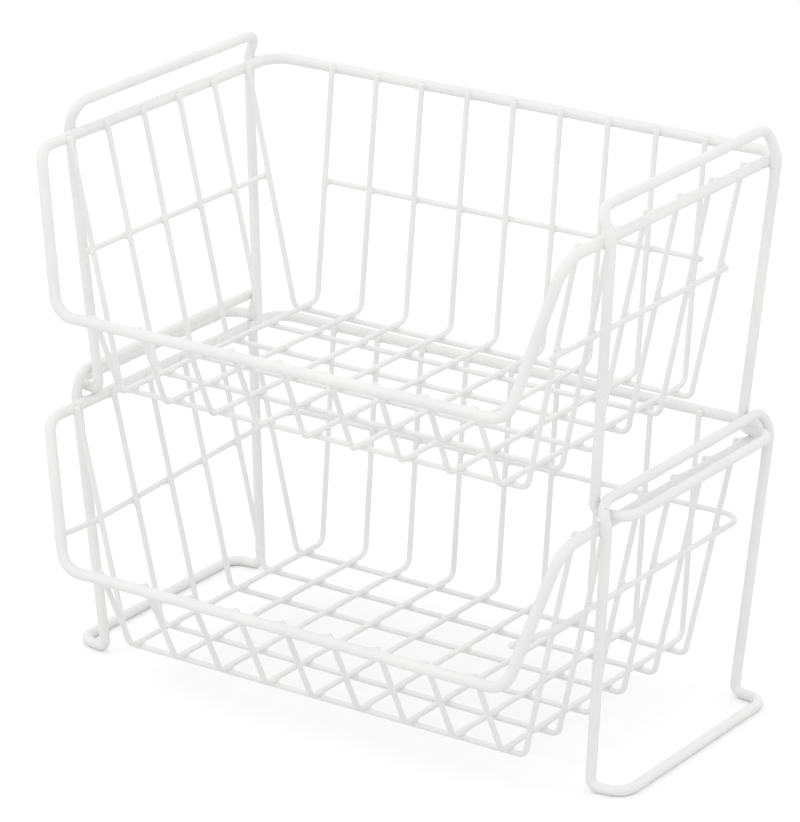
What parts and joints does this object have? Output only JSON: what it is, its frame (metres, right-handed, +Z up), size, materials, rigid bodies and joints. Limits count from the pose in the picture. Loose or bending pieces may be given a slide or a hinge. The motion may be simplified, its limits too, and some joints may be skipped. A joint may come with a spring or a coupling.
{
  "type": "stacking wire basket",
  "caption": "Stack of open-fronted wire baskets in white coated steel: thin wires on a heavy rim, with side leg frames whose feet sit on the rim below.",
  "frame": {"origin": "on the surface it stands on, under the middle of the stack's outer box", "axes": "+X to the right seen from the open front, +Y to the back, +Z up"},
  "size_m": [0.352, 0.2258, 0.3117],
  "materials": {
    "white_coating": "white dip coating over steel wire, satin"
  },
  "bodies": {
    "lower_basket": {"lower_rim": "white_coating", "lower_left_leg_frame": "white_coating", "lower_right_leg_frame": "white_coating", "lower_width_wire_1": "white_coating", "lower_width_wire_2": "white_coating", "lower_width_wire_3": "white_coating", "lower_width_wire_4": "white_coating", "lower_width_wire_5": "white_coating", "lower_width_wire_6": "white_coating", "lower_depth_wire_1": "white_coating", "lower_depth_wire_2": "white_coating", "lower_depth_wire_3": "white_coating", "lower_depth_wire_4": "white_coating", "lower_depth_wire_5": "white_coating", "lower_depth_wire_6": "white_coating", "lower_depth_wire_7": "white_coating", "lower_depth_wire_8": "white_coating", "lower_depth_wire_9": "white_coating", "lower_band_wire": "white_coating"},
    "upper_basket": {"upper_rim": "white_coating", "upper_width_wire_1": "white_coating", "upper_width_wire_2": "white_coating", "upper_width_wire_3": "white_coating", "upper_width_wire_4": "white_coating", "upper_width_wire_5": "white_coating", "upper_width_wire_6": "white_coating", "upper_depth_wire_1": "white_coating", "upper_depth_wire_2": "white_coating", "upper_depth_wire_3": "white_coating", "upper_depth_wire_4": "white_coating", "upper_depth_wire_5": "white_coating", "upper_depth_wire_6": "white_coating", "upper_depth_wire_7": "white_coating", "upper_depth_wire_8": "white_coating", "upper_depth_wire_9": "white_coating", "upper_left_band_wire": "white_coating", "upper_right_band_wire": "white_coating", "upper_back_band_wire": "white_coating"},
    "upper_left_leg": {"upper_left_leg_frame": "white_coating"},
    "upper_right_leg": {"upper_right_leg_frame": "white_coating"}
  },
  "joints": [
    {"name": "stack_lift", "type": "slide", "parent": "lower_basket", "child": "upper_basket", "axis": [0, 0, 1], "range_m": [0, 0.0012]},
    {"name": "left_leg_squeeze", "type": "hinge", "parent": "upper_basket", "child": "upper_left_leg", "pos_m": [-0.16545, 0.0177, 0.2916], "axis": [0, -1, 0], "range_deg": [0, 7.5], "stiffness_Nm_per_rad": 20},
    {"name": "right_leg_squeeze", "type": "hinge", "parent": "upper_basket", "child": "upper_right_leg", "pos_m": [0.16545, 0.0177, 0.2916], "axis": [0, 1, 0], "range_deg": [0, 7.5], "stiffness_Nm_per_rad": 20}
  ]
}
